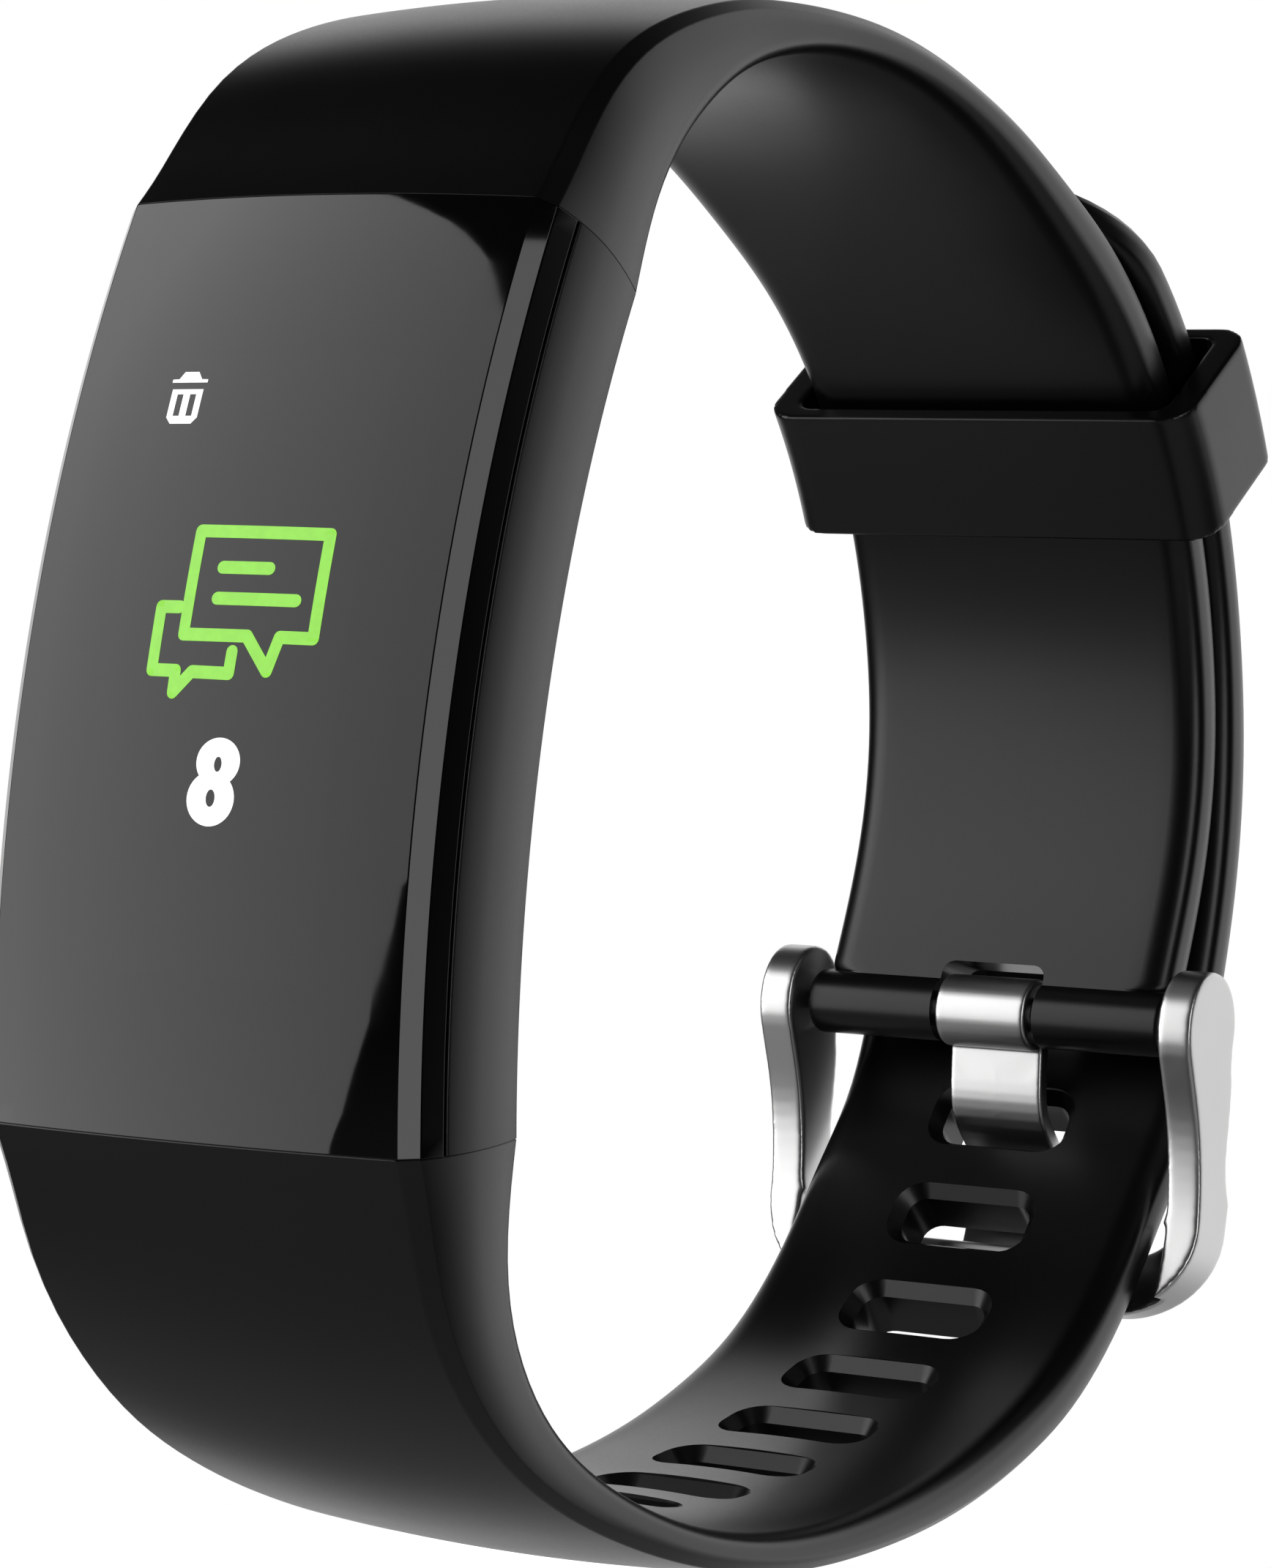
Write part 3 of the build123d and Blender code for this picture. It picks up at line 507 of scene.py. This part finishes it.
class Strap:
    """Wrist-side line of a strap with the sizes of its cross-section along it."""

    def __init__(self, points, shape, outward):
        points = np.array(points, float)
        chords = np.concatenate([[0], np.cumsum(np.linalg.norm(np.diff(points, axis=0), axis=1))])
        fine = np.linspace(0, chords[-1], 4001)
        place, slope = spline(chords, points, fine)
        run = np.concatenate([[0], np.cumsum(np.linalg.norm(np.diff(place, axis=0), axis=1))])
        self.length = run[-1]
        self.share = run / run[-1]
        self.place = place
        self.slope = slope / np.linalg.norm(slope, axis=1)[:, None]
        self.shape = np.array(shape, float)
        self.outward = outward

    def at(self, s):
        """Point, direction and outward normal, as (y, z), at a share of the length."""
        p = np.array([np.interp(s, self.share, self.place[:, k]) for k in (0, 1)])
        d = np.array([np.interp(s, self.share, self.slope[:, k]) for k in (0, 1)])
        lean = math.radians(HALF_ANGLE)
        seam = np.array([math.sin(lean), self.outward * math.cos(lean)])
        near = max(0.0, 1 - s / 0.03)
        d = d * (1 - near) + seam * near
        d = d / np.linalg.norm(d)
        return p, d, self.outward * np.array([-d[1], d[0]])

    def sizes(self, s):
        """Edge thickness, half width, blend, crown and belly at a share of the length."""
        row = spline(self.shape[:, 0], self.shape[:, 1:], np.array([s]))[0][0]
        row[2] = min(1.0, max(0.0, row[2]))
        return row

    def share_near(self, y, z):
        """Share of the length at the place nearest to a point."""
        gap = np.hypot(self.place[:, 0] - y, self.place[:, 1] - z)
        return self.share[int(np.argmin(gap))]


def wall_profile(thickness, half, blend, crown, belly):
    """Right-hand half of the section, from the wrist face's centre round the side to the outer face's."""
    def between(case, strap):
        return case + blend * (strap - case)

    facet = min(between(0.6, 0.36), 0.24 * thickness)
    lean_out, lean_in = between(0.56, 0.16), between(0.48, 0.12)
    round_x, round_t = between(0.8, 1.25), between(0.6, 0.3 * thickness)
    middle = 0.5 * thickness
    start = half - lean_in - round_x
    sunk = -belly * (1 - (start / half) ** 2)
    out = [(start * k / 12, -belly * (1 - (start * k / 12 / half) ** 2)) for k in range(1, 12)]
    side_foot = half - lean_in * ((middle - round_t) / middle) ** 2
    for k in range(9):
        a = math.radians(90 * k / 8)
        out.append((start + (side_foot - start) * math.sin(a), sunk + (round_t - sunk) * (1 - math.cos(a))))
    for k in range(1, 6):
        t = round_t + (middle - round_t) * k / 5
        out.append((half - lean_in * ((middle - t) / middle) ** 2, t))
    top = thickness - facet
    for k in range(1, 7):
        t = middle + (top - middle) * k / 7
        out.append((half - lean_out * ((t - middle) / (top - middle)) ** 2, t))
    crease, edge = (half - lean_out, top), (half - lean_out - facet, thickness)
    face = (edge[0] * 0.9, thickness + crown * 0.19)
    out += rounded_corner(out[-1], crease, edge, min(0.06, facet / 4))
    out += rounded_corner(crease, edge, face, 0.09)
    out += [(edge[0] * k / 12, thickness + crown * (1 - (k / 12) ** 2)) for k in range(11, 0, -1)]
    return out


def full_ring(half, bottom, top):
    """Loop from its right-hand half and the two points on the middle line."""
    return [(0.0, bottom)] + half + [(0.0, top)] + [(-x, t) for x, t in reversed(half)]


def strap_ring(strap, s, half=None, inset=0.0):
    """Loop of the strap's section at a share of the length; the inset shrinks it at the seam."""
    thickness, usual, blend, crown, belly = strap.sizes(s)
    half = usual if half is None else half
    p, d, out = strap.at(s)
    ring = full_ring(wall_profile(thickness, half, blend, crown, belly), -belly, thickness + crown)
    loop = []
    for x, t in ring:
        x *= 1 - inset / half
        t = inset + t * (1 - 2 * inset / thickness)
        loop.append((x, p[0] + out[0] * t, p[1] + out[1] * t))
    return loop


def slab(name, x, d0, d1, a0, a1):
    """Block that follows the screen's arc, between two depths and two angles."""
    rings = []
    for k in range(25):
        a = math.radians(a0 + (a1 - a0) * k / 24)
        rings.append([on_arc(px, d, a) / MM for px, d in ((-x, d0), (x, d0), (x, d1), (-x, d1))])
    return lofted(name, rings)


def x_rod(name, y, z, radius, x0, x1, steps=32):
    """Round pin across the strap."""
    rings = []
    for x in (x0, x1):
        turn = [math.radians(360 * k / steps) for k in range(steps)]
        rings.append([(x, y + radius * math.cos(a), z + radius * math.sin(a)) for a in turn])
    return lofted(name, rings)


def deep_rod(name, x, angle, radius, d0, d1, steps=24):
    """Round pin square to the case at an angle, between two depths."""
    a = math.radians(angle)
    across, along = Vector((1, 0, 0)), Vector((0, math.sin(a), math.cos(a)))
    rings = []
    for d in (d0, d1):
        middle = on_arc(x, d, a) / MM
        rings.append([middle + radius * (across * math.cos(t) + along * math.sin(t))
                      for t in [2 * math.pi * k / steps for k in range(steps)]])
    return lofted(name, rings)


def strap_tab(side):
    """Tongue of the strap inside the case pocket, drilled for the spring bar."""
    a0, a1 = sorted((side * 12.65, side * (HALF_ANGLE + 0.4)))
    tab = slab("tab", 6.6, 2.98, 5.42, a0, a1)
    y, z = case_point(LUG_DEPTH, side * LUG_ANGLE)
    return combine(tab, [x_rod("bore", y, z, BORE_R, -20, 20)])


def upper_strap():
    """Strap that ends in the sleeve round the buckle bar, with the notch for the tongue."""
    strap = Strap(UPPER_PATH, UPPER_SHAPE, 1)
    shares = [0.0, 0.0006] + [k / 120 for k in range(1, 120)]
    heights = np.interp(shares, strap.share, strap.place[:, 1])
    shares = [s for s, z in zip(shares, heights) if s < 0.5 or z > NECK_Z + 0.4]
    rings = [strap_ring(strap, s, inset=SEAM_INSET if s == 0 else 0.0) for s in shares]
    tail = strap.share > 0.9
    for k in range(13):
        a = math.radians(90 * k / 12)
        s = np.interp(NECK_Z - NECK_ROUND * math.sin(a), strap.place[tail, 1][::-1], strap.share[tail][::-1])
        rings.append(strap_ring(strap, s, NECK_X + NECK_ROUND * math.cos(a)))
    rings.append(strap_ring(strap, 1.0, NECK_X))
    body = lofted("upper_strap_skin", rings)
    profile = [(-TUBE_X, BORE_R)]
    profile += rounded_corner((-TUBE_X, BORE_R), (-TUBE_X, TUBE_R), (0, TUBE_R), TUBE_ROUND)
    profile += [(-4.5, TUBE_R), (0, TUBE_R), (4.5, TUBE_R)]
    profile += rounded_corner((0, TUBE_R), (TUBE_X, TUBE_R), (TUBE_X, BORE_R), TUBE_ROUND)
    profile += [(TUBE_X, BORE_R)]
    turns = [2 * math.pi * k / 72 for k in range(72)]
    sleeve = lofted("sleeve", [[(x, BAR_Y + r * math.cos(a), BAR_Z + r * math.sin(a)) for x, r in profile]
                               for a in turns], wrap=True)
    combine(body, [sleeve], "UNION")
    notch = [[(x, y, BAR_Z + z) for x, z in rounded_rectangle(5.15, 4.4, 0.6)] for y in (20, 40)]
    combine(body, [lofted("notch", notch)])
    combine(body, [strap_tab(1)], "UNION")
    return finished(body, SILICONE, "band", "upper_strap", SHARP_MOULDED)


def hole_tool(strap, s, number):
    """Slot with a bevelled mouth on the wrist face."""
    p, d, out = strap.at(s)
    belly = strap.sizes(s)[-1]
    narrow = rounded_rectangle(HOLE_W, HOLE_H - 2 * HOLE_FLARE, HOLE_ROUND)
    wide = rounded_rectangle(HOLE_W + 2 * HOLE_FLARE, HOLE_H, HOLE_ROUND + HOLE_FLARE)
    face = -0.85 * belly
    rings = []
    for outline, t in ((wide, face - 1), (wide, face), (narrow, face + 1.2 * HOLE_FLARE), (narrow, 8)):
        rings.append([(u, p[0] + d[0] * v + out[0] * t, p[1] + d[1] * v + out[1] * t) for u, v in outline])
    return lofted("slot_%d" % number, rings)


def lower_strap():
    """Strap with the row of slots and a round tip."""
    strap = Strap(LOWER_PATH, LOWER_SHAPE, -1)
    last = 1 - TIP_R / strap.length
    shares = [0.0, 0.0006] + [last * k / 130 for k in range(1, 131)]
    rings = [strap_ring(strap, s, inset=SEAM_INSET if s == 0 else 0.0) for s in shares]
    for k in range(1, 15):
        a = math.radians(88 * k / 14)
        half = STRAP_X - TIP_R + TIP_R * math.cos(a)
        rings.append(strap_ring(strap, last + TIP_R * math.sin(a) / strap.length, half))
    body = lofted("lower_strap_skin", rings)
    tongue_hole = strap.share_near(*TONGUE_HOLE)
    tools = [hole_tool(strap, tongue_hole + k * HOLE_PITCH / strap.length, k + HOLES_BELOW)
             for k in range(-HOLES_BELOW, HOLES_ABOVE + 1)]
    combine(body, tools)
    combine(body, [strap_tab(-1)], "UNION")
    return finished(body, SILICONE, "band", "lower_strap", SHARP_MOULDED)


def case_body():
    """Case with softly bowed side walls, its cavity, cover recess, strap pockets and screw posts."""
    shell_top, deck = LENS_DEPTH + 0.15, 2.4
    highest = CASE_DEPTH - shell_top - 0.05
    wall = wall_profile(CASE_DEPTH, CASE_X, 0, CROWN, CASE_BELLY)
    wall = [(x, t) for x, t in wall if t < highest and x > 0]
    rim = (9.58, CASE_DEPTH - shell_top)
    half = wall + rounded_corner(wall[-1], rim, (8, rim[1]), 0.06) + [(4.0, rim[1])]
    ring = full_ring(half, -CASE_BELLY, rim[1])
    rings = []
    for k in range(49):
        a = math.radians(HALF_ANGLE * (k / 48 * 2 - 1))
        rings.append([on_arc(x, CASE_DEPTH - t, a) / MM for x, t in ring])
    body = lofted("case_body", rings)
    tools = [slab("cavity", 8.3, deck, 8, -11.3, 11.3), slab("recess", 7.2, 1, deck + 1, -9.5, 9.5),
             slab("cover_seat", 8.45, 6.3, 8, -12.95, 12.95)]
    for side in (-1, 1):
        a0, a1 = sorted((side * 12.5, side * (HALF_ANGLE + 1)))
        tools.append(slab("pocket", 6.7, 2.9, 5.5, a0, a1))
        y, z = case_point(LUG_DEPTH, side * LUG_ANGLE)
        tools.append(x_rod("lug_bore", y, z, 0.47, -7.75, 7.75))
    combine(body, tools)
    screws = [(x, a) for x in (-6.9, 6.9) for a in (-10.0, 10.0)]
    combine(body, [deep_rod("post", x, a, 1.3, deck - 0.3, 6.25) for x, a in screws], "UNION")
    combine(body, [deep_rod("thread", x, a, 0.5, 3.9, 7) for x, a in screws])
    return finished(body, CASE, "band", "case_shell", SHARP_MOULDED)


upper_strap()
lower_strap()
case_body()
# cell size in millimetres and passes of smoothing
polished("buckle_frame", "buckle_frame_polished", 0.08, 30, STEEL, "buckle")
polished("buckle_tongue", "buckle_tongue_polished", 0.055, 22, STEEL, "tongue")
polished("keeper_loop", "keeper_loop_moulded", 0.11, 8, SILICONE, "keeper")


# ------------------------------------------------------------------ lit graphics on the screen
# millimetres: width of the drawn lines, and the cuts that let a shape follow the lens
LINE = 0.47
CUT_STEP, CUT_SHIFT = 0.9, 0.02


def decal(name, loops, mat, holes=()):
    """Thin lit shape laid just above the curved lens: outlines in millimetres, filled and cut finely."""
    curve = bpy.data.curves.new(name + "_outline", "CURVE")
    curve.dimensions = "2D"
    curve.fill_mode = "FRONT"
    for loop in list(loops) + list(holes):
        line = curve.splines.new("POLY")
        line.points.add(len(loop) - 1)
        for p, (x, z) in zip(line.points, loop):
            p.co = (x, z, 0, 1)
        line.use_cyclic_u = True
    temp = placed(name + "_outline", curve)
    bpy.context.view_layer.update()
    mesh = bpy.data.meshes.new_from_object(temp.evaluated_get(bpy.context.evaluated_depsgraph_get()))
    bpy.data.objects.remove(temp)
    bm = bmesh.new()
    bm.from_mesh(mesh)
    for axis in (Vector((1, 0, 0)), Vector((0, 1, 0))):
        for k in range(-14, 15):
            geom = bm.verts[:] + bm.edges[:] + bm.faces[:]
            bmesh.ops.bisect_plane(bm, geom=geom, plane_co=axis * (k * CUT_STEP + CUT_SHIFT), plane_no=axis)
    for v in bm.verts:
        v.co = on_lens(v.co.x, v.co.y)
    bmesh.ops.recalc_face_normals(bm, faces=bm.faces[:])
    bm.to_mesh(mesh)
    bm.free()
    shade_smooth(mesh)
    mesh.materials.clear()
    mesh.materials.append(mat)
    obj = placed(name, mesh)
    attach(obj, "band")


def arc(cx, cz, rx, rz, a0, a1, n):
    """Points of an elliptic arc between two angles in degrees."""
    out = []
    for k in range(n + 1):
        a = math.radians(a0 + (a1 - a0) * k / n)
        out.append((cx + rx * math.cos(a), cz + rz * math.sin(a)))
    return out


def stroke(points, closed=False):
    """Outlines of a pen line through the points, one round-ended shape for each straight part."""
    h, cap = LINE / 2, 8
    shapes = []
    pairs = list(zip(points, points[1:])) + ([(points[-1], points[0])] if closed else [])
    for (x0, z0), (x1, z1) in pairs:
        a = math.degrees(math.atan2(z1 - z0, x1 - x0))
        shapes.append(arc(x1, z1, h, h, a - 90, a + 90, cap) + arc(x0, z0, h, h, a + 90, a + 270, cap))
    return shapes


def ring_outline(cx, cz, rx, rz, n=40):
    """Full ellipse of n points."""
    return arc(cx, cz, rx, rz, 0, 360 * (n - 1) / n, n - 1)


GREEN = glow("pixel_green", (0.30, 0.80, 0.07), 1.0)
WHITE = glow("pixel_white", (1.0, 1.0, 1.0), 1.3)

bubble = [(-1.62, 3.16), (3.84, 3.14), (3.84, -0.62), (2.46, -0.62), (2.12, -1.84), (1.1, -0.62),
          (-1.62, -0.62)]
reply = [(-1.97, 0.36), (-2.78, 0.36), (-2.78, -1.93), (-1.74, -1.94), (-1.74, -2.72), (-1.03, -1.96),
         (0.55, -1.98), (0.57, -1.19)]
for k, shape in enumerate(stroke(bubble, closed=True)):
    decal("message_outline_%d" % k, [shape], GREEN)
for k, shape in enumerate(stroke(reply)):
    decal("reply_outline_%d" % k, [shape], GREEN)
for k, (x0, x1, z) in enumerate([(-0.40, 1.58, 1.84), (-0.42, 2.88, 0.71)]):
    decal("message_line_%d" % k, stroke([(x0, z), (x1, z)]), GREEN)
lid = [(-4.40, 8.76), (-2.82, 8.76), (-2.82, 8.88), (-3.10, 8.89), (-3.30, 9.17), (-3.92, 9.17),
       (-4.12, 8.89), (-4.40, 8.88)]
bin_wall = [(-4.30, 8.50), (-2.92, 8.50), (-2.92, 7.42), (-3.14, 7.18), (-4.08, 7.18), (-4.30, 7.42)]
bin_slots = [[(x0, 8.31), (x1, 8.31), (x1, 7.48), (x0, 7.48)] for x0, x1 in ((-4.03, -3.76), (-3.46, -3.19))]
decal("bin_lid", [lid], WHITE)
decal("bin_body", [bin_wall], WHITE, bin_slots)
decal("count_upper", [ring_outline(0.60, -5.12, 0.92, 0.86)], WHITE,
      [ring_outline(0.60, -5.20, 0.16, 0.27, 16)])
decal("count_lower", [ring_outline(0.43, -6.42, 1.00, 0.97)], WHITE,
      [ring_outline(0.43, -6.40, 0.19, 0.31, 16)])


# ------------------------------------------------------------------ stage, light, camera
FLOOR_GAP, FLOOR_SIZE = 0.0001, 60
bpy.ops.mesh.primitive_plane_add(size=FLOOR_SIZE, location=(0, 0, size_at_load[0][2] - FLOOR_GAP))
floor = bpy.context.object
floor.name = "floor"
floor_mat, _, floor_bsdf = new_material("floor_paper")
floor_bsdf.inputs["Base Color"].default_value = (0.9, 0.9, 0.9, 1)
floor_bsdf.inputs["Roughness"].default_value = 0.5
floor_bsdf.inputs["Emission Color"].default_value = (1, 1, 1, 1)
floor_bsdf.inputs["Emission Strength"].default_value = 1.0
floor.data.materials.append(floor_mat)
floor.visible_glossy = False
floor.visible_diffuse = False

world = bpy.data.worlds.new("studio")
bpy.context.scene.world = world
world.use_nodes = True
sky = world.node_tree
sky.nodes.clear()
out = node(sky, "ShaderNodeOutputWorld")
seen = node(sky, "ShaderNodeBackground", {"Color": (1, 1, 1, 1), "Strength": 1.0})
fill = node(sky, "ShaderNodeBackground")
way = node(sky, "ShaderNodeSeparateXYZ")
sky.links.new(node(sky, "ShaderNodeTexCoord").outputs["Generated"], way.inputs["Vector"])
# wide glow behind the object, fading overhead, to the right and below the horizon
behind = ramp(sky, way.outputs["Y"], 0.0, 1.0, 0.30, 0.55)
above = ramp(sky, way.outputs["Z"], 1.0, 0.0, 0.66, 0.80)
beside = ramp(sky, way.outputs["X"], 1.0, 0.15, 0.50, 1.0)
under = ramp(sky, way.outputs["Z"], 0.22, 1.0, -0.50, -0.15)
sweep = math_node(sky, "MULTIPLY", math_node(sky, "MULTIPLY", behind, above), beside)
sweep = math_node(sky, "MULTIPLY", sweep, under)
# weak light from the table
below = ramp(sky, way.outputs["Z"], 0.30, 0.02, -0.75, -0.25)
strength = math_node(sky, "MAXIMUM", ramp(sky, sweep, 0.0, 1.15), below)
sky.links.new(strength, fill.inputs["Strength"])
pick = node(sky, "ShaderNodeMixShader")
sky.links.new(node(sky, "ShaderNodeLightPath").outputs["Is Camera Ray"], pick.inputs["Fac"])
sky.links.new(fill.outputs["Background"], pick.inputs[1])
sky.links.new(seen.outputs["Background"], pick.inputs[2])
sky.links.new(pick.outputs["Shader"], out.inputs["Surface"])


def panel(name, corners, bright, dim, axis, low, high):
    """Glowing diffuser of a studio light; its brightness runs evenly from one side to the other."""
    mesh = bpy.data.meshes.new(name)
    mesh.from_pydata([Vector(c) * MM for c in corners], [], [tuple(range(len(corners)))])
    mat = bpy.data.materials.new(name)
    mat.use_nodes = True
    tree = mat.node_tree
    tree.nodes.clear()
    glow_node = node(tree, "ShaderNodeEmission")
    split = node(tree, "ShaderNodeSeparateXYZ")
    tree.links.new(node(tree, "ShaderNodeTexCoord").outputs["Object"], split.inputs["Vector"])
    shade = ramp(tree, split.outputs[axis], bright, dim, low * MM, high * MM)
    tree.links.new(shade, glow_node.inputs["Strength"])
    surface = node(tree, "ShaderNodeOutputMaterial").inputs["Surface"]
    tree.links.new(glow_node.outputs["Emission"], surface)
    mesh.materials.append(mat)
    obj = placed(name, mesh)
    obj.visible_camera = False


# outline of the front softbox, as (x, z): its cut corners are what the glass shows
SOFTBOX_Y = -500
SOFTBOX = [(-150, -10), (-170, -36), (-178, -55), (-181, -80), (-186, -108), (-194, -140), (-210, -171),
           (-223, -203), (-236, -226), (-262, -300), (-330, -420), (-1000, -420), (-1100, 760), (-520, 565),
           (-429, 526), (-378, 501), (-336, 477), (-309, 459), (-287, 441), (-266, 421), (-246, 403),
           (-236, 382), (-226, 359), (-219, 345), (-150, 340)]
panel("front_softbox", [(x, SOFTBOX_Y, z) for x, z in SOFTBOX], 2.6, 1.35, "X", -620, -170)
CARD_X = 500
CARD = [(-480, -260), (-220, -260), (-220, 383), (-480, 383)]
panel("right_card", [(CARD_X, y, z) for y, z in CARD], 2.2, 2.0, "Z", -200, 300)


# camera in the frame of the CAD, in metres; its axes come from the lines of the photograph
CAMERA_AT = (0.103988, -0.18022, -0.030592)
RIGHT = Vector((0.86118, 0.48967, 0.13637))
UP = Vector((-0.04286, -0.19739, 0.97939))
AHEAD = Vector((-0.5065, 0.84927, 0.149))
scene = bpy.context.scene
cam_data = bpy.data.cameras.new("camera")
cam_data.lens = 117.73
cam_data.sensor_width = 36
cam_data.clip_start = 0.01
camera = placed("camera", cam_data)
camera.matrix_world = Matrix.Translation(CAMERA_AT) @ Matrix((RIGHT, UP, -AHEAD)).transposed().to_4x4()
scene.camera = camera
scene.view_settings.view_transform = "Standard"
